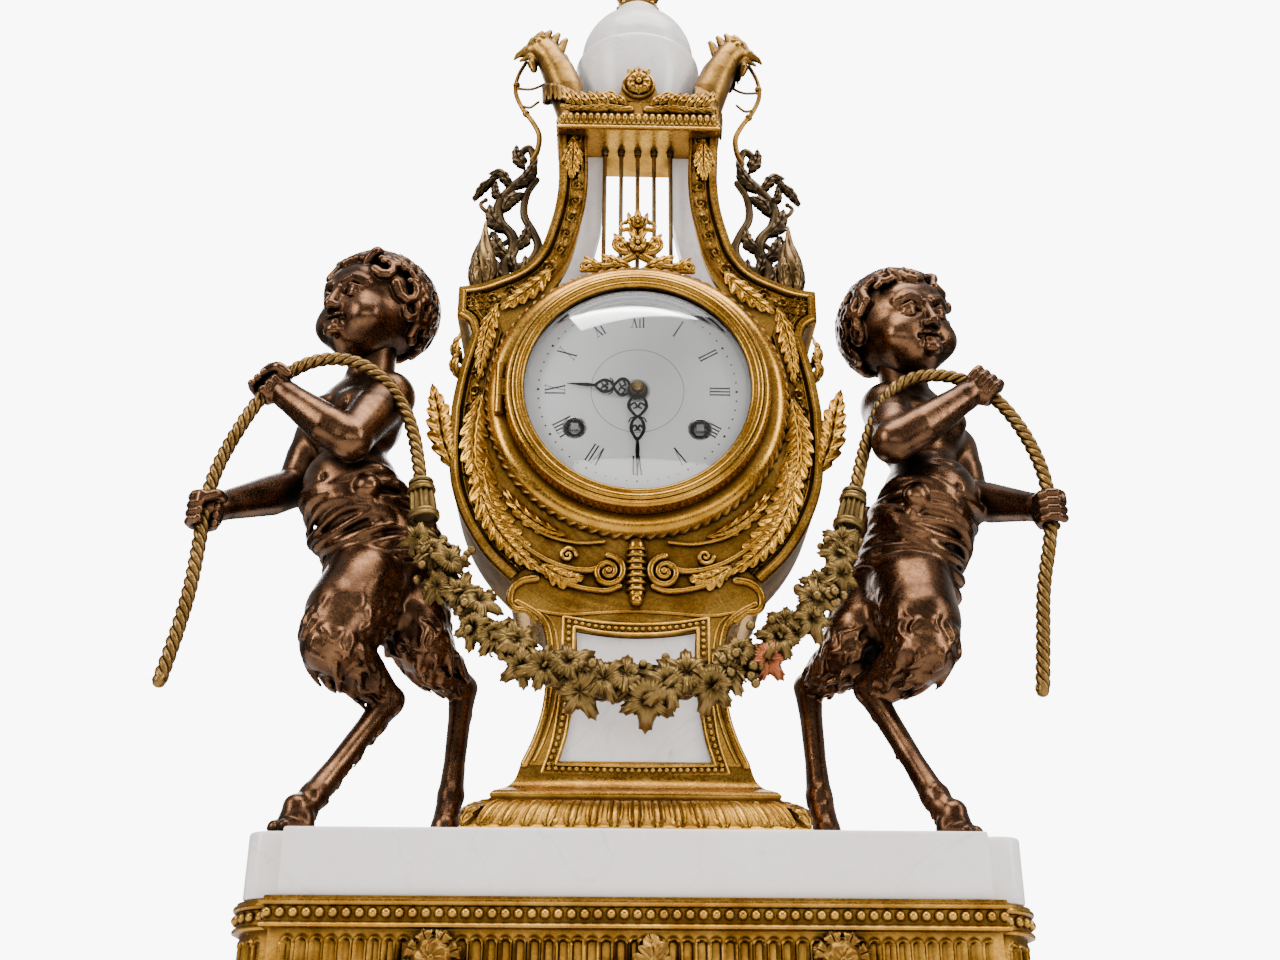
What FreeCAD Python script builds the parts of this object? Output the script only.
import FreeCAD, Part
import math
import os

import Sketcher
from FreeCAD import Placement, Rotation, Vector

# Lyre-shaped mantel clock carried by two young satyrs on a marble and brass base.
# Millimetres. +X is the viewer's right, -Y is the front, +Z is up.
# The origin is on the ground, in the middle of the base.

CELLS = {
    # base, from the ground up
    "foot_height": 18.0,
    "foot_radius": 13.0,
    "foot_spread_x": 122.0,
    "foot_spread_y": 52.0,
    "plinth_height": 10.0,
    "frieze_height": 32.0,
    "band_height": 11.5,
    "slab_height": 24.5,
    "block_half": 128.0,
    "block_depth": 70.0,
    "wing_half": 144.0,
    "wing_depth": 60.0,
    "slab_corner": 8.0,
    "base_corner": 17.0,
    "plinth_out": 9.0,
    "frieze_out": 3.0,
    "band_out": 5.0,
    "frieze_wall": 4.0,
    # column
    "column_front": 30.0,
    "column_back": 10.0,
    "column_wall": 2.5,
    "column_waist": 36.5,
    "column_foot_half": 68.0,
    "column_foot_height": 32.0,
    "column_height": 109.4,
    "frame_thick": 3.0,
    "tie_rod_radius": 3.0,
    # case, bezel and dial
    "dial_rise": 196.0,
    "case_radius": 82.0,
    "case_centre": 172.0,
    "case_shoulder": 252.0,
    "case_wall": 2.0,
    "case_front": 30.0,
    "case_back": 10.0,
    "plate_thick": 3.0,
    "back_plate_thick": 2.0,
    "arm_top": 338.0,
    "arm_outer": 38.6,
    "arm_inner": 24.4,
    "leaf_ring_outer": 67.0,
    "leaf_ring_inner": 57.0,
    "bezel_outer": 58.0,
    "bezel_opening": 49.5,
    "bezel_hinge_x": 60.5,
    "bezel_hinge_y": 38.5,
    "dial_radius": 51.0,
    "dial_front": 38.0,
    "dial_thick": 1.0,
    "dial_seat_bore": 48.5,
    "glass_thick": 1.6,
    "drum_radius": 62.0,
    "drum_depth": 22.0,
    "door_thick": 2.0,
    "door_hinge_x": 65.0,
    # movement
    "winding_offset": 27.25,
    "winding_drop": 18.5,
    "plate_gap_front": 24.5,
    "plate_gap_back": 7.0,
    "movement_plate": 1.5,
    "barrel_radius": 22.0,
    "arbor_radius": 2.5,
    "centre_radius": 1.5,
    "pivot_radius": 1.0,
    "running_gap": 0.05,
    # lyre head and urn
    "crossbar_half": 38.0,
    "crossbar_height": 8.0,
    "string_pitch": 8.0,
    "string_radius": 1.15,
    "urn_radius": 31.8,
    "urn_foot": 352.0,
    "urn_height": 88.0,
    "finial_height": 50.0,
    "figure_scale": 1.0,
    "rope_radius": 3.0,
    "garland_radius": 8.0,
}

doc = FreeCAD.newDocument("mantel_clock")
nodes = []


class Dim(float):
    """A length that remembers the spreadsheet expression it stands for."""

    def __new__(cls, value, text=None):
        number = super().__new__(cls, value)
        number.text = repr(round(float(value), 6)) if text is None else text
        return number

    def __add__(self, other):
        return Dim(float(self) + float(other), f"({self.text} + {dim(other).text})")

    def __radd__(self, other):
        return dim(other) + self

    def __sub__(self, other):
        return Dim(float(self) - float(other), f"({self.text} - {dim(other).text})")

    def __rsub__(self, other):
        return dim(other) - self

    def __mul__(self, other):
        return Dim(float(self) * float(other), f"({self.text} * {dim(other).text})")

    def __rmul__(self, other):
        return dim(other) * self

    def __truediv__(self, other):
        return Dim(float(self) / float(other), f"({self.text} / {dim(other).text})")

    def __neg__(self):
        return Dim(-float(self), f"(0 - {self.text})")


def dim(value):
    return value if isinstance(value, Dim) else Dim(value)


class Sizes:
    """The driving dimensions, one spreadsheet cell each."""

    def __init__(self, cells):
        sheet = doc.addObject("Spreadsheet::Sheet", "sizes")
        for row, (alias, value) in enumerate(cells.items(), start=1):
            sheet.set(f"A{row}", alias)
            sheet.set(f"B{row}", str(value))
            sheet.setAlias(f"B{row}", alias)
            setattr(self, alias, Dim(value, f"sizes.{alias}"))


size = Sizes(CELLS)
doc.recompute()

plinth_base = size.foot_height
frieze_base = plinth_base + size.plinth_height
band_base = frieze_base + size.frieze_height
slab_base = band_base + size.band_height
slab_top = slab_base + size.slab_height
dial_z = slab_top + size.dial_rise
tie_rod_top = slab_top + 22
TIE_ROD_X = (-24.0, 24.0)
TIE_ROD_Y = -10.0


def bind(thing, prop, value):
    """Set a property to a length, through the sheet where the length comes from it."""
    if "sizes." in dim(value).text:
        thing.setExpression(prop, dim(value).text)
    else:
        thing.setExpression(prop, repr(float(value)))


def place(thing, at=(0, 0, 0), turn=None):
    thing.Placement = Placement(Vector(*(float(v) for v in at)), turn or Rotation())
    for axis, value in zip("xyz", at):
        if "sizes." in dim(value).text:
            thing.setExpression(f"Placement.Base.{axis}", dim(value).text)


def node(thing, label):
    """Name a finished sub-part; its label is also its file's name."""
    thing.Label = label
    nodes.append(thing)
    return thing


def primitive(kind, at=(0, 0, 0), turn=None, **lengths):
    thing = doc.addObject(f"Part::{kind}", kind)
    for prop, value in lengths.items():
        bind(thing, prop, value)
    place(thing, at, turn)
    return thing


def along_y():
    return Rotation(Vector(1, 0, 0), -90)


def rod(radius, front, back, x=0, z=0):
    """A round bar along Y between two depths, placed in the front view."""
    return primitive("Cylinder", (x, front, z), along_y(), Radius=radius, Height=back - front)


def post(radius, low, high, x=0, y=0):
    return primitive("Cylinder", (x, y, low), Radius=radius, Height=high - low)


def box(low, high):
    lengths = dict(zip(("Length", "Width", "Height"), (high[i] - low[i] for i in range(3))))
    return primitive("Box", low, **lengths)


def cut(base, *tools):
    for tool in tools:
        piece = doc.addObject("Part::Cut", "Cut")
        piece.Base = base
        piece.Tool = tool
        base = piece
    return base


def fuse(*pieces):
    if len(pieces) == 1:
        return pieces[0]
    union = doc.addObject("Part::MultiFuse", "Fusion")
    union.Shapes = list(pieces)
    return union


def group(*pieces):
    """Separate solids that share one node."""
    bundle = doc.addObject("Part::Compound", "Group")
    bundle.Links = list(pieces)
    return bundle


def feature(label, shape, at=(0, 0, 0)):
    thing = doc.addObject("Part::Feature", label)
    thing.Shape = shape
    place(thing, at)
    return node(thing, label)


# ---------------------------------------------------------------- sketched bodies


def new_body(label):
    return node(doc.addObject("PartDesign::Body", label), label)


def new_sketch(body, plane, offset=0):
    sketch = body.newObject("Sketcher::SketchObject", "Sketch")
    planes = [f for f in body.Origin.OriginFeatures if f.Role == plane]
    sketch.AttachmentSupport = (planes[0], [""])
    sketch.MapMode = "FlatFace"
    if float(offset):
        sketch.AttachmentOffset = Placement(Vector(0, 0, float(offset)), Rotation())
        bind(sketch, "AttachmentOffset.Base.z", offset)
    return sketch


def draw(sketch, steps):
    """Draw a closed outline. A step is a corner (x, y) or an arc (x, y, via_x, via_y) to it."""
    corners = [Vector(float(s[0]), float(s[1]), 0) for s in steps]
    first = sketch.GeometryCount
    ends = []
    for number, step in enumerate(steps):
        start = corners[number - 1]
        end = corners[number]
        edge_ends = (1, 2)
        if len(step) == 4:
            via = Vector(float(step[2]), float(step[3]), 0)
            if (via - start).cross(end - via).z < 0:
                start, end = end, start
                edge_ends = (2, 1)
            sketch.addGeometry(Part.Arc(start, via, end))
        else:
            sketch.addGeometry(Part.LineSegment(start, end))
        ends.append(edge_ends)
    rules = []
    bound = []
    for number, step in enumerate(steps):
        after = (number + 1) % len(steps)
        here, there = first + number, first + after
        rules.append(Sketcher.Constraint("Coincident", here, ends[number][1], there, ends[after][0]))
        for kind, value in zip(("DistanceX", "DistanceY"), step[:2]):
            rules.append(Sketcher.Constraint(kind, -1, 1, here, ends[number][1], float(value)))
            if "sizes." in dim(value).text:
                bound.append((len(rules) - 1, dim(value).text))
    base = sketch.ConstraintCount
    sketch.addConstraint(rules)
    for index, text in bound:
        sketch.setExpression(f"Constraints[{base + index}]", text)


def draw_circle(sketch, radius, x=0, y=0):
    index = sketch.addGeometry(Part.Circle(Vector(float(x), float(y), 0), Vector(0, 0, 1), float(radius)))
    base = sketch.ConstraintCount
    sketch.addConstraint(
        [
            Sketcher.Constraint("DistanceX", -1, 1, index, 3, float(x)),
            Sketcher.Constraint("DistanceY", -1, 1, index, 3, float(y)),
            Sketcher.Constraint("Radius", index, float(radius)),
        ]
    )
    for shift, value in enumerate((x, y, radius)):
        if "sizes." in dim(value).text:
            sketch.setExpression(f"Constraints[{base + shift}]", dim(value).text)


def pad(body, sketch, length):
    feature_pad = body.newObject("PartDesign::Pad", "Pad")
    feature_pad.Profile = sketch
    bind(feature_pad, "Length", length)
    body.Tip = feature_pad
    sketch.Visibility = False
    return feature_pad


def plan_body(label, steps, low, height, holes=()):
    """A flat piece drawn in plan and raised from a level."""
    body = new_body(label)
    sketch = new_sketch(body, "XY_Plane")
    draw(sketch, steps)
    for x, y, radius in holes:
        draw_circle(sketch, radius, x, y)
    pad(body, sketch, height)
    place(body, (0, 0, low))
    return body


def front_body(label, outlines, front, back, z=0, holes=()):
    return node(front_part(label, outlines, front, back, z, holes), label)


def front_part(label, outlines, front, back, z=0, holes=()):
    """A flat shape drawn in the front view, between two depths."""
    body = doc.addObject("PartDesign::Body", label)
    sketch = new_sketch(body, "XZ_Plane")
    for steps in outlines:
        draw(sketch, steps)
    for x, y, radius in holes:
        draw_circle(sketch, radius, x, y)
    pad(body, sketch, back - front)
    place(body, (0, back, z))
    return body


def turned_part(label, steps, plane="XZ_Plane", at=(0, 0, 0)):
    """A turned shape: its half section swept round the sketch's upright axis."""
    body = doc.addObject("PartDesign::Body", label)
    sketch = new_sketch(body, plane)
    draw(sketch, steps)
    turn = body.newObject("PartDesign::Revolution", "Revolution")
    turn.Profile = sketch
    turn.ReferenceAxis = (sketch, ["V_Axis"])
    turn.Angle = 360
    body.Tip = turn
    place(body, at)
    return body


def turned_body(label, steps, plane="XZ_Plane", at=(0, 0, 0)):
    return node(turned_part(label, steps, plane, at), label)


def mirrored(steps):
    """The right half of a front-view outline, from bottom to top, made whole."""
    right = [tuple(dim(v) for v in step) for step in steps]
    whole = list(right)
    for number in range(len(right) - 1, -1, -1):
        x, y = right[number][:2]
        after = right[number + 1] if number + 1 < len(right) else ()
        via = (-after[2], after[3]) if len(after) == 4 else ()
        whole.append((-x, y, *via))
    return whole


# ---------------------------------------------------------------- base


def breakfront(out, corner):
    """Plan with a projecting middle block and set-back wings with rounded front corners."""
    block_x = size.block_half + out
    block_y = size.block_depth + out
    wing_x = size.wing_half + out
    wing_y = size.wing_depth + out
    diagonal = corner * (1 - math.sqrt(0.5))
    return [
        (-block_x, -block_y),
        (block_x, -block_y),
        (block_x, -wing_y),
        (wing_x - corner, -wing_y),
        (wing_x, -wing_y + corner, wing_x - diagonal, -wing_y + diagonal),
        (wing_x, block_y),
        (-wing_x, block_y),
        (-wing_x, -wing_y + corner),
        (-wing_x + corner, -wing_y, -wing_x + diagonal, -wing_y + diagonal),
        (-block_x, -wing_y),
    ]


def foot_outline():
    top = size.foot_height
    girth = size.foot_radius
    return [
        (0, 0),
        (girth * 0.62, 0),
        (girth * 0.78, top * 0.17, girth * 0.76, top * 0.06),
        (girth * 0.78, top * 0.72, girth, top * 0.44),
        (girth * 0.9, top * 0.8),
        (girth * 0.9, top),
        (0, top),
    ]


def make_feet():
    """Four turned feet, one under each corner."""
    feet = []
    for across in (-1, 1):
        for along in (-1, 1):
            at = (size.foot_spread_x * across, size.foot_spread_y * along, 0)
            feet.append(turned_part("foot", foot_outline(), at=at))
    node(group(*feet), "turned_feet")


def hollow_out(body, steps, depth):
    """Open a piece right through, from its lower face upwards."""
    hollow = new_sketch(body, "XY_Plane")
    draw(hollow, steps)
    pocket = body.newObject("PartDesign::Pocket", "Pocket")
    pocket.Profile = hollow
    pocket.Reversed = True
    bind(pocket, "Length", depth)
    body.Tip = pocket


def make_base():
    """Plinth with a closed floor, open frieze and bead band above it, and the marble slab."""
    corner = size.base_corner
    wall = size.frieze_wall
    rod_holes = [(x, TIE_ROD_Y, size.tie_rod_radius + 0.2) for x in TIE_ROD_X]
    plan_body("base_plinth", breakfront(size.plinth_out, corner), plinth_base, size.plinth_height, rod_holes)
    inner = breakfront(size.frieze_out - wall, corner - wall)
    frieze = plan_body("base_frieze", breakfront(size.frieze_out, corner), frieze_base, size.frieze_height)
    hollow_out(frieze, inner, size.frieze_height)
    band = plan_body("base_bead_band", breakfront(size.band_out, corner), band_base, size.band_height)
    hollow_out(band, inner, size.band_height)
    plan_body("marble_slab", breakfront(0, size.slab_corner), slab_base, size.slab_height, rod_holes)


def make_frieze_mounts():
    """Cast mounts pinned to the frieze: two bosses, two swags and a centre leaf."""
    face = size.block_depth + size.frieze_out
    level = slab_top - 46
    pieces = []
    for side in (-1, 1):
        pieces.append(primitive("Sphere", (71.5 * side, -face + 4.5, level), Radius=10))
    leaf = primitive("Ellipsoid", (4, -face, level), Radius1=9.5, Radius2=7, Radius3=5.5)
    pieces.append(leaf)
    solids = [cut(piece, box((-100, -face, level - 30), (100, -face + 20, level + 30))) for piece in pieces]
    swag_points = [(60, 2), (48, -7), (34, -10), (22, -6), (14, 1)]
    for side in (-1, 1):
        route = [Vector(x * side, -float(face) - 2.9, z) for x, z in swag_points]
        swag = doc.addObject("Part::Feature", "Swag")
        swag.Shape = tube(route, 2.8)
        place(swag, (0, 0, level - 3))
        solids.append(swag)
    node(group(*solids), "frieze_mounts")


# ---------------------------------------------------------------- column


def make_column_foot():
    """Rectangular foot: a bold rounded member below a hollow one, as a stack of sections."""
    levels = [(0, 0), (2.5, 0), (9, 1.5), (15, 6.5), (19, 12), (23, 16.5), (27.5, 20.5), (32, 22.4)]
    body = doc.addObject("PartDesign::Body", "foot_section")
    sketches = []
    for rise, inset in levels:
        sketch = new_sketch(body, "XY_Plane", size.column_foot_height * (rise / 32.0))
        half = size.column_foot_half - inset
        front = -(size.column_front + 18) + inset * 0.8
        back = size.column_back + 18 - inset * 0.8
        draw(sketch, [(-half, front), (half, front), (half, back), (-half, back)])
        sketches.append(sketch)
    loft = body.newObject("PartDesign::AdditiveLoft", "Loft")
    loft.Profile = sketches[0]
    loft.Sections = sketches[1:]
    loft.Ruled = True
    body.Tip = loft
    place(body, (0, 0, slab_top))
    threads = [post(size.tie_rod_radius, slab_top - 1, tie_rod_top, x, TIE_ROD_Y) for x in TIE_ROD_X]
    node(cut(body, *threads), "column_foot")


def column_outline(inset, low, high):
    """Waisted shaft that flares to a capital under the case."""
    waist = size.column_waist - inset
    return mirrored(
        [
            (waist + 9.1, low),
            (waist, 78, waist + 2.2, 50),
            (waist + 8.3, 96.4, waist + 2.4, 91),
            (waist + 16.5, 102.5, waist + 14.3, 98.3),
            (waist + 13, high, waist + 15.8, 106.3),
        ]
    )


def make_column():
    low = size.column_foot_height
    high = size.column_height
    back = size.column_back
    front = -size.column_front + size.frame_thick
    shell = front_body("column_shell", [column_outline(0, low, high)], front, back, slab_top)
    wall = size.column_wall
    hollow = new_sketch(shell, "XZ_Plane", back - front - wall)
    draw(hollow, column_outline(wall, low - 1, high - wall))
    pocket = shell.newObject("PartDesign::Pocket", "Pocket")
    pocket.Profile = hollow
    bind(pocket, "Length", back - front - wall * 2)
    shell.Tip = pocket

    opening = mirrored([(31, 33.5), (25, 88, 25.6, 58)])
    opening[2] = (-25, 88, 0, 85.4)
    front_body(
        "column_front_frame",
        [column_outline(0, low, high), opening],
        -size.column_front,
        front,
        slab_top,
    )
    panel = mirrored([(30.6, 33.8), (24.7, 87.6, 25.2, 58)])
    panel[2] = (-24.7, 87.6, 0, 85.0)
    front_body("column_marble_panel", [panel], -size.column_front + 1, front, slab_top)


# ---------------------------------------------------------------- case


def case_outline(inset, top):
    """Lower case: a deep U that narrows a little to square shoulders."""
    radius = size.case_radius - inset
    centre = size.case_centre
    return [
        (53, size.column_height + inset),
        (radius, centre, radius * 0.906, centre - radius * 0.4232),
        (radius, 190),
        (75 - inset, 228, 79.6 - inset, 208),
        (radius, 237, 77 - inset, 233.5),
        (radius, top),
    ]


def front_plate_outline():
    """Case front with the two lyre arms that rise from its shoulders."""
    top = size.arm_top
    outer = size.arm_outer
    inner = size.arm_inner
    right = case_outline(0, size.case_shoulder) + [
        (64, 257, 72.5, 253.6),
        (42.6, 282, 50.2, 265.8),
        (37.8, 314, 39, 298),
        (outer, top),
        (inner, top),
        (24.6, 314),
        (29, 277, 25.9, 295),
        (38.7, 252.5, 32.6, 264),
    ]
    steps = mirrored(right)
    crown = len(right)
    steps[crown] = (*steps[crown][:2], 0, size.dial_rise + size.leaf_ring_outer - 0.5)
    return steps


def make_case():
    front = -size.case_front
    inner_face = front + size.plate_thick
    back = size.case_back
    front_body(
        "case_front_plate",
        [front_plate_outline()],
        front,
        inner_face,
        slab_top,
        holes=[(0, size.dial_rise, size.dial_seat_bore)],
    )
    crown = size.case_shoulder
    wall = size.case_wall
    loops = []
    for inset in (0, wall):
        steps = mirrored(case_outline(inset, crown - inset) + [(52, crown - inset)])
        steps[7] = (*steps[7][:2], 0, crown + 8 - inset)
        loops.append(steps)
    front_body("case_side_wall", loops, inner_face, back, slab_top)
    drum_hole = size.drum_radius - 2
    front_body(
        "case_back_plate",
        [loops[0]],
        back,
        back + size.back_plate_thick,
        slab_top,
        holes=[(0, size.dial_rise, drum_hole)],
    )


def make_side_leaves():
    """Acanthus tips that curl off the flanks of the case."""
    outline = [
        (82.1, 164),
        (91.5, 186, 85, 176),
        (93.5, 201, 93.4, 194),
        (86, 203, 90.5, 203.4),
        (82.1, 196),
    ]
    left = [(-x, z, *((-rest[0], rest[1]) if rest else ())) for x, z, *rest in outline]
    front_body("case_side_leaves", [outline, left], -34, -27, slab_top)


def make_leaf_ring():
    outer = size.leaf_ring_outer
    inner = size.leaf_ring_inner
    face = -size.case_front
    steps = [
        (size.dial_seat_bore, face),
        (outer, face),
        (outer, face - 1.5),
        (inner + 2, face - 6, outer - 3, face - 5),
        (inner, face - 6),
        (inner, face - 1),
        (size.dial_radius, face - 1),
        (size.dial_radius, -size.dial_front + size.dial_thick),
        (size.dial_seat_bore, -size.dial_front + size.dial_thick),
    ]
    ring = turned_part("ring_section", steps, plane="XY_Plane")
    hinge_x = -size.bezel_hinge_x
    hinge_y = -size.bezel_hinge_y
    knuckles = []
    for low, high in ((4.2, 12), (-12, -4.2)):
        knuckle = post(2, low, high, hinge_x, hinge_y)
        block = box((hinge_x - 2, hinge_y, low), (hinge_x + 1.2, face - 4, high))
        knuckles += [knuckle, block]
    whole = cut(fuse(ring, *knuckles), post(0.95, -13, 13, hinge_x, hinge_y))
    place(whole, (0, 0, dial_z))
    node(whole, "leaf_ring")


def make_bezel():
    outer = size.bezel_outer
    lip = size.bezel_opening
    seat = size.dial_radius + 1.3
    steps = [
        (lip, -42.5),
        (lip, -43.6),
        (lip + 2.2, -44.8, lip + 0.6, -44.6),
        (outer - 3, -44.4),
        (outer, -41.4, outer - 0.6, -43.6),
        (outer, -36.2),
        (seat, -36.2),
        (seat, -42.5),
    ]
    ring = turned_part("bezel_section", steps, plane="XY_Plane")
    hinge_x = -size.bezel_hinge_x
    hinge_y = -size.bezel_hinge_y
    knuckle = post(2, -4, 4, hinge_x, hinge_y)
    tab = box((hinge_x, hinge_y - 1.6, -4), (hinge_x + 4, hinge_y + 1.4, 4))
    whole = cut(fuse(ring, knuckle, tab), post(0.95, -13, 13, hinge_x, hinge_y))
    place(whole, (0, 0, dial_z))
    node(whole, "bezel_ring")

    crown = -50.0
    rim = size.bezel_opening - 0.3
    glass = size.glass_thick
    turned_body(
        "bezel_glass",
        [
            (0, crown),
            (rim, -42.5, rim * 0.52, crown + 2.0),
            (seat - 0.4, -42.5),
            (seat - 0.4, -41.2),
            (rim - 1, -41.2),
            (0, crown + glass, rim * 0.5, crown + glass + 1.85),
        ],
        plane="XY_Plane",
        at=(0, 0, dial_z),
    )


def make_dial():
    front = -size.dial_front
    holes = [
        (0, 0, 4.2),
        (size.winding_offset, -size.winding_drop, 4.4),
        (-size.winding_offset, -size.winding_drop, 4.4),
    ]
    body = new_body("dial_plate")
    sketch = new_sketch(body, "XZ_Plane")
    draw_circle(sketch, size.dial_radius - 0.1)
    for x, z, radius in holes:
        draw_circle(sketch, radius, x, z)
    pad(body, sketch, size.dial_thick)
    place(body, (0, front + size.dial_thick, dial_z))


def make_rear():
    """Rear drum with its hinged door."""
    base = size.case_back + size.back_plate_thick
    edge = base + size.drum_depth
    radius = size.drum_radius
    hinge_x = size.door_hinge_x
    drum = cut(rod(radius, base, edge), rod(radius - 2, base - 1, edge + 1))
    hinge_y = edge + 1.2
    parts = [drum]
    for low, high in ((4.2, 12), (-12, -4.2)):
        parts.append(post(2, low, high, hinge_x, hinge_y))
        parts.append(box((hinge_x - 6, edge - 6, low), (hinge_x + 1, edge, high)))
    whole = cut(fuse(*parts), post(0.95, -13, 13, hinge_x, hinge_y), rod(radius - 2, base - 1, edge + 6))
    place(whole, (0, 0, dial_z))
    node(whole, "rear_drum")
    thick = size.door_thick
    plate = turned_part(
        "door_section",
        [
            (0, edge + 0.3),
            (radius, edge + 0.3),
            (radius, edge + 0.3 + thick),
            (radius - 8, edge + 0.3 + thick),
            (6, edge + 6.5, radius * 0.5, edge + 5.4),
            (0, edge + 6.5),
        ],
        plane="XY_Plane",
    )
    knuckle = post(2, -4, 4, hinge_x, hinge_y)
    tab = box((hinge_x - 6, edge + 0.5, -4), (hinge_x, edge + 2.3, 4))
    door = cut(fuse(plate, knuckle, tab), post(0.95, -13, 13, hinge_x, hinge_y))
    place(door, (0, 0, dial_z))
    node(door, "rear_door")

    low, high = dial_z - 12, dial_z + 12
    bezel_pin = post(0.9, low, high, -size.bezel_hinge_x, -size.bezel_hinge_y)
    door_pin = post(0.9, low, high, hinge_x, hinge_y)
    node(group(bezel_pin, door_pin), "hinge_pins")


# ---------------------------------------------------------------- movement


def gear_face(teeth, module, phase, at):
    """Toothed outline with short straight-sided teeth and easy backlash."""
    radius = teeth * module / 2
    step = 2 * math.pi / teeth
    root = radius - 1.0 * module
    tip = radius + 0.7 * module
    profile = [(root, -0.30), (tip, -0.115), (tip, 0.115), (root, 0.30)]
    points = []
    for tooth in range(teeth):
        for reach, share in profile:
            angle = phase + (tooth + share) * step
            points.append(Vector(reach * math.cos(angle), at, reach * math.sin(angle)))
    return Part.Face(Part.makePolygon(points + points[:1]))


def wheel(teeth, module, phase, front, back, bore=0.0):
    solid = gear_face(teeth, module, phase, front).extrude(Vector(0, back - front, 0))
    if bore:
        solid = solid.cut(bar(bore, front - 1, back + 1))
    return solid


def bar(radius, front, back, x=0.0, z=0.0):
    return Part.makeCylinder(float(radius), float(back - front), Vector(x, float(front), z), Vector(0, 1, 0))


def meshed_phase(angle, driver_teeth, driver_phase, teeth):
    """Phase that sets a gap of the driven wheel against the driver's nearest tooth."""
    return angle + math.pi + math.pi / teeth + (angle - driver_phase) * driver_teeth / teeth


GREAT_TEETH = 78
PINION_TEETH = 12
CENTRE_TEETH = 60
THIRD_PINION_TEETH = 10
THIRD_TEETH = 54
ESCAPE_PINION_TEETH = 8
ESCAPE_TEETH = 15
MOTION_TEETH = 36
MOTION_PINION_TEETH = 10
HOUR_TEETH = 40
FINE_MODULE = 0.6
LIGHT_MODULE = 0.5
MOTION_DISTANCE = FINE_MODULE * (PINION_TEETH + MOTION_TEETH) / 2
HOUR_MODULE = 2 * MOTION_DISTANCE / (MOTION_PINION_TEETH + HOUR_TEETH)
THIRD_DISTANCE = FINE_MODULE * (CENTRE_TEETH + THIRD_PINION_TEETH) / 2
ESCAPE_DISTANCE = LIGHT_MODULE * (THIRD_TEETH + ESCAPE_PINION_TEETH) / 2
THIRD_ANGLE = math.radians(70)
ESCAPE_ANGLE = math.radians(175)
THIRD_AT = (THIRD_DISTANCE * math.cos(THIRD_ANGLE), THIRD_DISTANCE * math.sin(THIRD_ANGLE))
ESCAPE_AT = (
    THIRD_AT[0] + ESCAPE_DISTANCE * math.cos(ESCAPE_ANGLE),
    THIRD_AT[1] + ESCAPE_DISTANCE * math.sin(ESCAPE_ANGLE),
)
PALLET_RISE = 15.0
PALLET_AT = (ESCAPE_AT[0], ESCAPE_AT[1] + PALLET_RISE)
BALANCE_AT = (12.0, 30.0)
HAMMER_AT = (-40.0, 24.0)
BELL_AT = (6.0, -4.0)


def great_distance():
    return math.hypot(size.winding_offset, size.winding_drop)


def great_module():
    return 2 * great_distance() / (GREAT_TEETH + PINION_TEETH)


def strike_wheel_at():
    return (-float(size.winding_offset), great_distance() - float(size.winding_drop))


def make_plates():
    front = -size.plate_gap_front
    back = size.plate_gap_back
    thick = size.movement_plate
    run = size.running_gap
    strike_x, strike_z = strike_wheel_at()
    offset = size.winding_offset
    drop = -size.winding_drop
    bearings = [
        (offset, drop, size.arbor_radius + run),
        (-offset, drop, size.arbor_radius + run),
        (0, 0, size.centre_radius + run),
    ]
    for x, z in (THIRD_AT, ESCAPE_AT, PALLET_AT, (strike_x, strike_z)):
        bearings.append((x, z, size.pivot_radius + run))
    outline = [(-54, -46), (54, -46), (54, 40), (-54, 40)]
    plate = front_part("front_plate", [outline], front - thick, front, 0, holes=bearings)
    stud = rod(size.pivot_radius, -35.4, front - thick + 0.5, 0, MOTION_DISTANCE)
    studded = fuse(plate, stud)
    place(studded, (0, 0, dial_z))
    node(studded, "movement_front_plate")
    rear_bearings = bearings + [(*BALANCE_AT, size.pivot_radius + run), (*HAMMER_AT, size.pivot_radius + run)]
    front_body("movement_back_plate", [outline], back, back + thick, dial_z, holes=rear_bearings)
    corners = [(x, z) for x in (-51, 51) for z in (-43, 37)]
    pillars = [rod(2.6, front, back, x, z) for x, z in corners]
    spacers = [rod(1.8, -size.case_front + size.plate_thick, front - thick, x, z) for x, z in corners]
    supports = group(*pillars, *spacers)
    place(supports, (0, 0, dial_z))
    node(supports, "movement_pillars")


def make_barrels():
    run = float(size.running_gap)
    bore = float(size.arbor_radius) + run
    radius = float(size.barrel_radius)
    module = great_module()
    plans = (
        ("time", 1, (-20.5, -18.5), (-18.5, -1.0)),
        ("strike", -1, (-1.0, 1.0), (-18.0, -1.0)),
    )
    for name, side, toothed, drum in plans:
        teeth = wheel(GREAT_TEETH, module, 0.0, *toothed)
        solid = teeth.fuse(bar(radius, *drum)).cut(bar(bore, toothed[0] - 30, toothed[1] + 30))
        at = (size.winding_offset * side, 0, dial_z - size.winding_drop)
        feature(f"{name}_barrel", solid.removeSplitter(), at)
        shaft = bar(size.arbor_radius, -36.5, size.plate_gap_back + size.movement_plate)
        square = 1.6
        end = Part.makeBox(2 * square, 3.4, 2 * square, Vector(-square, -39.4, -square))
        feature(f"{name}_winding_arbor", shaft.fuse(end), at)


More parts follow.
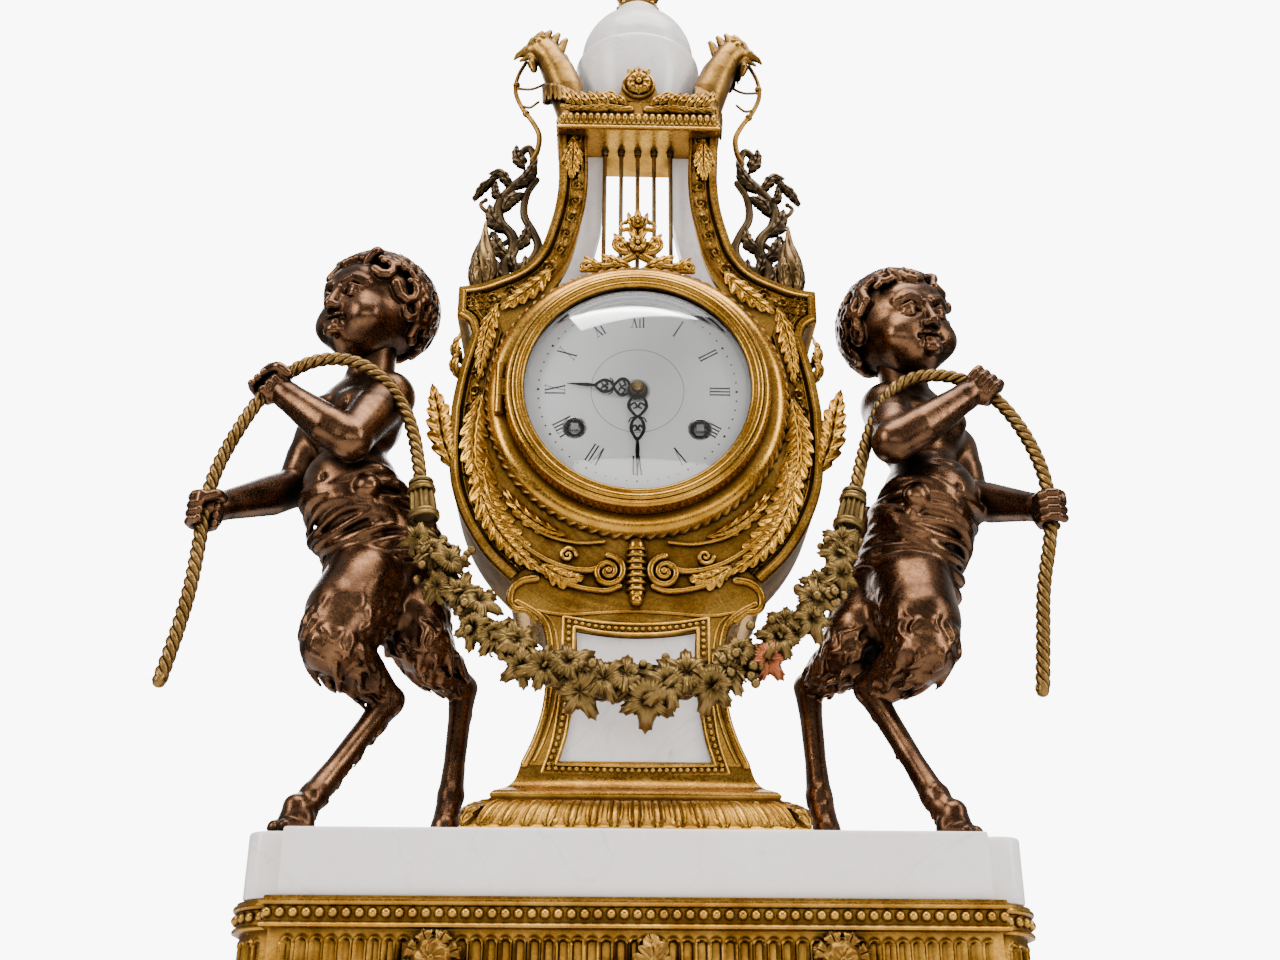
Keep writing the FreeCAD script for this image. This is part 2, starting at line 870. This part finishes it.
def make_train():
    """Centre, third and escape wheels, each with its pinion on one arbor."""
    module = great_module()
    plate_front = -float(size.plate_gap_front) - float(size.movement_plate)
    plate_back = float(size.plate_gap_back) + float(size.movement_plate)
    toward_centre = math.atan2(size.winding_drop, -size.winding_offset)
    pinion_phase = meshed_phase(toward_centre, GREAT_TEETH, 0.0, PINION_TEETH)
    centre = bar(size.centre_radius, -44.4, plate_back)
    centre = centre.fuse(wheel(PINION_TEETH, module, pinion_phase, -21.2, -17.8))
    centre = centre.fuse(wheel(CENTRE_TEETH, FINE_MODULE, 0.0, -23.5, -22.2))
    feature("center_wheel", centre, (0, 0, dial_z))

    third_phase = meshed_phase(THIRD_ANGLE, CENTRE_TEETH, 0.0, THIRD_PINION_TEETH)
    third = bar(size.pivot_radius, plate_front, plate_back)
    third = third.fuse(wheel(THIRD_PINION_TEETH, FINE_MODULE, third_phase, -24.0, -21.7))
    third = third.fuse(wheel(THIRD_TEETH, LIGHT_MODULE, 0.0, -12.0, -10.8))
    feature("third_wheel", third, (THIRD_AT[0], 0, dial_z + THIRD_AT[1]))

    escape_phase = meshed_phase(ESCAPE_ANGLE, THIRD_TEETH, 0.0, ESCAPE_PINION_TEETH)
    escape = bar(size.pivot_radius, plate_front, plate_back)
    escape = escape.fuse(wheel(ESCAPE_PINION_TEETH, LIGHT_MODULE, escape_phase, -12.6, -10.2))
    escape = escape.fuse(wheel(ESCAPE_TEETH, 1.1, 0.0, -6.0, -4.8))
    feature("escape_wheel", escape, (ESCAPE_AT[0], 0, dial_z + ESCAPE_AT[1]))

    strike_x, strike_z = strike_wheel_at()
    strike_phase = meshed_phase(math.pi / 2, GREAT_TEETH, 0.0, PINION_TEETH)
    strike = bar(size.pivot_radius, plate_front, plate_back)
    strike = strike.fuse(wheel(PINION_TEETH, module, strike_phase, -1.6, 1.8))
    strike = strike.fuse(bar(15.0, 2.6, 4.0))
    for number in range(8):
        angle = number * math.pi / 4
        strike = strike.fuse(bar(0.8, 3.9, 6.4, 13 * math.cos(angle), 13 * math.sin(angle)))
    feature("strike_wheel", strike, (strike_x, 0, dial_z + strike_z))


def make_escapement():
    """Pallet lever and balance wheel of the platform."""
    plate_front = -float(size.plate_gap_front) - float(size.movement_plate)
    plate_back = float(size.plate_gap_back) + float(size.movement_plate)
    lever = bar(size.pivot_radius, plate_front, plate_back)
    for side in (-1, 1):
        arm = Part.makeBox(9.5, 1.2, 2.4, Vector(0, -6.0, -1.2))
        arm.rotate(Vector(0, 0, 0), Vector(0, 1, 0), 30 if side > 0 else 150)
        lever = lever.fuse(arm)
    fork = Part.makeBox(10.0, 1.2, 1.6, Vector(0, -6.0, -0.8))
    lean = math.atan2(PALLET_AT[1] - BALANCE_AT[1], BALANCE_AT[0] - PALLET_AT[0])
    fork.rotate(Vector(0, 0, 0), Vector(0, 1, 0), math.degrees(lean))
    lever = lever.fuse(fork)
    feature("pallet_lever", lever, (PALLET_AT[0], 0, dial_z + PALLET_AT[1]))

    balance = bar(8.0, -1.0, 0.5).cut(bar(6.6, -2.0, 1.5))
    balance = balance.fuse(Part.makeBox(14.4, 1.2, 1.8, Vector(-7.2, -0.9, -0.9)))
    balance = balance.fuse(bar(size.pivot_radius, -3.0, plate_back))
    feature("balance_wheel", balance, (BALANCE_AT[0], 0, dial_z + BALANCE_AT[1]))


def make_motion_works():
    """Cannon pinion, reducing wheel and hour wheel under the dial."""
    run = float(size.running_gap)
    phase = meshed_phase(math.pi / 2, PINION_TEETH, 0.0, MOTION_TEETH)
    cannon = wheel(PINION_TEETH, FINE_MODULE, 0.0, -31.0, -27.6).fuse(bar(2.2, -42.2, -27.6))
    cannon = cannon.cut(bar(size.centre_radius + run, -50, 0))
    feature("cannon_pinion", cannon, (0, 0, dial_z))

    reducing = wheel(MOTION_TEETH, FINE_MODULE, phase, -30.5, -29.0)
    reducing = reducing.fuse(wheel(MOTION_PINION_TEETH, HOUR_MODULE, 0.0, -34.6, -30.5))
    reducing = reducing.cut(bar(size.pivot_radius + run, -50, 0))
    feature("motion_wheel", reducing, (0, 0, dial_z + MOTION_DISTANCE))

    hour_phase = meshed_phase(-math.pi / 2, MOTION_PINION_TEETH, 0.0, HOUR_TEETH)
    hour = wheel(HOUR_TEETH, HOUR_MODULE, hour_phase, -34.2, -33.0).fuse(bar(3.3, -40.9, -33.0))
    hour = hour.cut(bar(2.2 + run, -50, 0))
    feature("hour_wheel", hour, (0, 0, dial_z))


def make_hands():
    """Serpentine hands: the minute hand hangs at six, the hour hand points to nine."""
    hour_half = [(-3, 3.6), (-20, 3.4), (-31, 0.4)]
    hour = [(2, -4.6), (4.6, 0), (2, 4.6)] + hour_half + [(x, -z) for x, z in reversed(hour_half)]
    front_body("hour_hand", [hour], -40.9, -40.1, dial_z, holes=[(0, 0, 3.3)])
    minute_half = [(3.4, 3), (3.4, -21), (0.5, -26), (0.4, -43)]
    minute = [(0, 4.4)] + [(-x, z) for x, z in minute_half] + minute_half[::-1]
    front_body("minute_hand", [minute], -42.2, -41.4, dial_z, holes=[(0, 0, 2.2)])
    nut = cut(rod(2.9, -43.8, -42.2), rod(size.centre_radius + size.running_gap, -45, -41))
    place(nut, (0, 0, dial_z))
    node(nut, "hand_nut")


def make_strike():
    """Bell on its stand and the hammer that swings to its rim."""
    bell_x, bell_z = BELL_AT
    base = float(size.plate_gap_back) + float(size.movement_plate)
    turned_body(
        "bell",
        [
            (3.1, 27),
            (6, 27),
            (26, 14, 22, 24.4),
            (28, 14),
            (6, 29, 24, 26.4),
            (3.1, 29),
        ],
        plane="XY_Plane",
        at=(bell_x, 0, dial_z + bell_z),
    )
    stand = fuse(rod(3, base, 29.5), rod(4.5, 29.5, 31.5), rod(5, base, base + 3))
    place(stand, (bell_x, 0, dial_z + bell_z))
    node(stand, "bell_stand")
    hammer_x, hammer_z = HAMMER_AT
    arbor = bar(size.pivot_radius, float(size.plate_gap_back) - 3, 22.0)
    drop = 16.0
    arm = bar(2.0, 17.5, 21.5).fuse(Part.makeBox(1.6, 1.6, drop, Vector(-0.8, 18.7, -drop)))
    arm.rotate(Vector(0, 0, 0), Vector(0, 1, 0), -18)
    angle = math.radians(18)
    head_at = Vector(drop * math.sin(angle), 19.5, -drop * math.cos(angle))
    head = Part.makeCylinder(2.6, 8.0, head_at - Vector(4, 0, 0), Vector(1, 0, 0))
    hammer = arbor.fuse(arm).fuse(head)
    feature("hammer", hammer, (hammer_x, 0, dial_z + hammer_z))


# ---------------------------------------------------------------- lyre head and urn


def make_lyre():
    top = size.arm_top
    plates = []
    for side in (-1, 1):
        outline = [
            (15.5 * side, top),
            (36.5 * side, top),
            (35 * side, 300),
            (44 * side, 262),
            (25 * side, 262),
            (17.5 * side, 298),
        ]
        plates.append(outline)
    front_body("lyre_marble_plates", plates, -14, -6, slab_top)
    half = size.crossbar_half
    bar_top = top + size.crossbar_height
    rail = box((-half, -36, slab_top + top), (half, -3, slab_top + bar_top))
    cap = box((-half + 3, -33, slab_top + bar_top), (half - 3, -4, slab_top + bar_top + 3))
    node(fuse(rail, cap), "crossbar")
    strings = []
    for number in range(-2, 3):
        across = size.string_pitch * number
        strings.append(post(size.string_radius, slab_top + 263.4, slab_top + top, across, -19))
    node(group(*strings), "lyre_strings")
    ornament = [(27, 263.6), (27, 266), (12, 272, 20, 270), (10.6, 284), (3, 298), (0, 299.6)]
    whole = mirrored(ornament)
    del whole[6]
    whole[-1] = (-27, 263.6)
    front_body("string_ornament", [whole], -29, -23, slab_top)


def make_crest():
    """Laurel crest with a round flower in front of the urn, standing on the crossbar."""
    base = size.arm_top + size.crossbar_height + 3
    petal = [(20, base + 7.5), (9, base + 12), (6, base + 22)]
    outline = mirrored([(34, base), (33, base + 12, 35.5, base + 7)] + petal)
    outline[5] = (*outline[5][:2], 0, base + 28)
    front_body("laurel_crest", [outline], -36, -30, slab_top)


def make_urn():
    bowl = size.urn_radius
    foot = slab_top + size.urn_foot
    height = size.urn_height
    turned_body(
        "urn_body",
        [
            (3.2, 0),
            (17, 0),
            (17, 4),
            (12.5, 7, 13.5, 5),
            (bowl * 0.85, 22, 21.5, 12),
            (bowl, 44, bowl * 0.97, 34),
            (bowl, 49),
            (bowl - 2.4, 51, bowl - 0.6, 50.6),
            (bowl - 4.6, 66, bowl - 2.6, 59),
            (14, 79, 22.5, 75),
            (10, height),
            (3.2, height),
        ],
        at=(0, 0, foot),
    )
    turned_body(
        "urn_finial",
        [
            (0, -height - 2),
            (3, -height - 2),
            (3, 0),
            (10, 0),
            (11, 3.5, 11.4, 1.4),
            (6.5, 9, 7.2, 6),
            (11.5, 20, 10.6, 13.6),
            (7.5, 34, 10.6, 28),
            (0.8, size.finial_height - 1, 3.2, 43),
            (0, size.finial_height),
        ],
        at=(0, 0, foot + height),
    )
    block = box((-17, -17, slab_top + size.arm_top + size.crossbar_height + 3), (17, 17, foot))
    node(cut(block, post(3.2, foot - 20, foot + 5)), "urn_pedestal")


# ---------------------------------------------------------------- sculpted castings


def ball(x, y, z, radius):
    return Part.makeSphere(radius, Vector(x, y, z))


def limb(points):
    """A chain of balls joined by cones. A point is (x, y, z, radius)."""
    solid = ball(*points[0])
    for (x0, y0, z0, r0), (x1, y1, z1, r1) in zip(points, points[1:]):
        start = Vector(x0, y0, z0)
        run = Vector(x1, y1, z1) - start
        cone = Part.makeCone(0.96 * r0, 0.955 * r1, run.Length, start, run)
        solid = solid.fuse(cone).fuse(ball(x1, y1, z1, r1))
    return solid


def joined(limbs):
    solid = limb(limbs[0])
    for points in limbs[1:]:
        solid = solid.fuse(limb(points))
    return solid


def casting(label, limbs, scale=1.0):
    solid = joined(limbs)
    solid.scale(scale)
    return feature(label, solid, (0, 0, slab_top))


def make_satyrs():
    scale = float(size.figure_scale)
    left = [
        [(-109.8, -6, 127, 22), (-120, -12, 152, 21), (-125, -10, 178, 20.5), (-123, -9, 198, 17)],
        [(-122.4, -8, 212, 9), (-122.5, -10, 226, 10), (-122.5, -13, 246, 24.5)],
        [(-111.7, -20, 200, 9.5), (-119, -40, 172, 8.5), (-140, -40, 184, 7), (-156, -36, 194, 7.5)],
        [(-138, 2, 196, 9), (-154, 2, 166, 8), (-168, -18, 146, 6.5), (-177, -36, 134, 6)],
        [
            (-113, -16, 116, 19),
            (-123.9, -30, 84, 15),
            (-104, -14, 62, 8),
            (-124.5, -38, 17, 6.5),
            (-130, -46, 9, 8.8),
        ],
        [(-101, 4, 116, 17), (-89.7, -4, 92, 12), (-75, 13, 74, 7), (-76, 4, 26, 6), (-78, -4, 8.5, 8.3)],
    ]
    right = [
        [(119, -6, 127, 22), (130, -12, 152, 21), (130, -10, 178, 20.5), (126, -9, 196, 17)],
        [(125, -8, 211, 9), (124.5, -10, 224, 10), (123.3, -13, 241, 24.5)],
        [(114.4, -20, 198, 9.5), (110.5, -40, 171, 8.5), (134, -40, 187, 7), (152, -36, 200, 7.5)],
        [(145, 2, 192, 9), (153, 2, 164, 8), (164, -18, 148, 6.5), (176, -36, 139, 7.8)],
        [
            (118, -16, 116, 19),
            (118.4, -30, 84, 15),
            (99, -13, 69, 8),
            (116.5, -38, 19, 6.5),
            (122, -46, 9, 8.8),
        ],
        [(105, 4, 116, 17), (92.4, -4, 92, 12), (77, 13, 76, 7), (77.5, 4, 27, 6), (80, -4, 8.5, 8.3)],
    ]
    casting("satyr_left", left, scale)
    casting("satyr_right", right, scale)


def tube(route, radius):
    """A round bar along straight runs joined by tangent arcs."""
    corners = [Vector(*point) for point in route]
    trims = []
    for before, here, after in zip(corners, corners[1:], corners[2:]):
        shorter = min((here - before).Length, (after - here).Length)
        trims.append(0.45 * shorter)
    edges = []
    start = corners[0]
    for number, trim in enumerate(trims, start=1):
        here = corners[number]
        inward = (here - corners[number - 1]).normalize()
        onward = (corners[number + 1] - here).normalize()
        enter = here - inward * trim
        leave = here + onward * trim
        turn = inward.getAngle(onward)
        centre_way = (onward - inward).normalize()
        middle = here + centre_way * (trim * math.tan(turn / 4))
        edges.append(Part.LineSegment(start, enter).toShape())
        edges.append(Part.Arc(enter, middle, leave).toShape())
        start = leave
    edges.append(Part.LineSegment(start, corners[-1]).toShape())
    first = (corners[1] - corners[0]).normalize()
    ring = Part.Wire(Part.makeCircle(radius, corners[0], first))
    return Part.Wire(edges).makePipeShell([ring], True, False)


LEFT_ROPE = [
    (-187, -48, 60),
    (-181.5, -45, 90),
    (-180, -44, 121),
    (-180, -42, 148),
    (-171, -40, 175),
    (-160, -38, 197),
    (-143, -36, 211),
    (-124, -33, 212),
    (-108, -31, 200),
    (-98, -33, 180),
    (-93, -36, 157),
    (-90, -38, 138),
]
RIGHT_ROPE = [
    (163.6, -40, 62),
    (166, -41, 84),
    (168, -42, 106),
    (175, -42, 132),
    (175, -41, 158),
    (166, -39, 184),
    (152, -37, 202),
    (132, -35, 209),
    (113, -33, 203),
    (102, -34, 181),
    (95, -36, 157),
    (90, -38, 136),
]
GARLAND = [
    (-90, -38, 127),
    (-82, -41, 111),
    (-70, -44, 92),
    (-54, -47, 75),
    (-34, -49, 63),
    (-12, -50, 57),
    (12, -50, 57),
    (34, -49, 63),
    (54, -47, 75),
    (70, -44, 92),
    (82, -41, 111),
    (90, -38, 127),
]


def make_ropes():
    radius = float(size.rope_radius)
    for label, route in (("rope_left", LEFT_ROPE), ("rope_right", RIGHT_ROPE)):
        strand = tube(route, radius).fuse(ball(*route[0], radius))
        ferrule = limb([(*route[-1], 5.5), (*route[-2][:2], route[-1][2] + 9, 5.2)])
        feature(label, strand.fuse(ferrule), (0, 0, slab_top))
    garland = tube(GARLAND, float(size.garland_radius))
    feature("fruit_garland", garland, (0, 0, slab_top))


def make_roosters():
    """Two bird heads on curved necks at the ends of the crossbar."""
    heads = []
    for side in (-1, 1):
        neck = [
            (30 * side, -22, 357, 7),
            (34 * side, -23, 374, 8.5),
            (39 * side, -18, 392, 8),
            (46 * side, -14, 404, 7.5),
        ]
        beak = [(47 * side, -14, 403, 6.5), (60 * side, -14, 396.5, 2)]
        comb = [(38 * side, -14, 412, 3), (45 * side, -14, 415, 3.6), (52 * side, -14, 411, 2.6)]
        heads.append(joined([neck, beak]))
        heads[-1] = heads[-1].fuse(limb(comb))
    feature("rooster_heads", Part.makeCompound(heads), (0, 0, slab_top))


def make_scrolls():
    """Openwork scrolls beside the arms, and a flame finial on each shoulder."""
    scrolls = []
    for side in (-1, 1):
        stem = [(59, 262), (62, 276), (60, 291), (68, 304), (67, 318), (58, 328), (52, 340), (50, 351)]
        twig = [(64, 326), (72, 330), (78, 323)]
        curl = [(60, 292), (51, 292), (46, 300)]
        tail = [(47, 352), (54, 372), (58, 392)]
        limbs = [
            [(x * side, -4, z, 3.6) for x, z in stem],
            [(x * side, -4, z, 2.0) for x, z in twig],
            [(x * side, -4, z, 2.6) for x, z in curl],
            [(x * side, -4, z, 1.6) for x, z in tail],
        ]
        scrolls.append(joined(limbs))
    feature("side_scrolls", Part.makeCompound(scrolls), (0, 0, slab_top))
    outline = [
        (0, 0),
        (6.5, 0),
        (6.5, 2.5),
        (3, 7, 3.8, 4.4),
        (5, 13),
        (6.2, 22, 6.6, 17.5),
        (2.4, 34, 4.6, 29.6),
        (0.6, 47, 1.5, 42),
        (0, 48),
    ]
    shoulder = slab_top + size.case_shoulder
    finials = [turned_part("finial", outline, at=(73.0 * side, -14, shoulder)) for side in (-1, 1)]
    node(group(*finials), "shoulder_finials")


def make_fasteners():
    """Screws that draw the column down on to the base, with their heads under the plinth."""
    rods = []
    for x in TIE_ROD_X:
        shank = post(size.tie_rod_radius, plinth_base, tie_rod_top, x, TIE_ROD_Y)
        head = post(size.tie_rod_radius * 2, plinth_base - 4, plinth_base, x, TIE_ROD_Y)
        rods.append(fuse(shank, head))
    node(group(*rods), "column_tie_rods")


def make_all():
    make_feet()
    make_base()
    make_frieze_mounts()
    make_column_foot()
    make_column()
    make_case()
    make_side_leaves()
    make_leaf_ring()
    make_bezel()
    make_dial()
    make_rear()
    make_plates()
    make_barrels()
    make_train()
    make_escapement()
    make_motion_works()
    make_hands()
    make_strike()
    make_lyre()
    make_crest()
    make_urn()
    make_satyrs()
    make_ropes()
    make_roosters()
    make_scrolls()
    make_fasteners()


def check():
    doc.recompute()
    for thing in doc.Objects:
        if "Invalid" in thing.State or "Error" in thing.State:
            raise RuntimeError(f"{thing.Label} ({thing.Name}) failed: {thing.State}")
    for thing in nodes:
        if thing.Shape.isNull() or not thing.Shape.isValid():
            raise RuntimeError(f"{thing.Label} has a bad shape")


def write():
    os.makedirs("parts", exist_ok=True)
    for thing in nodes:
        thing.Shape.exportStep(f"parts/{thing.Label}.step")


make_all()
check()
write()
print(len(nodes), "nodes")
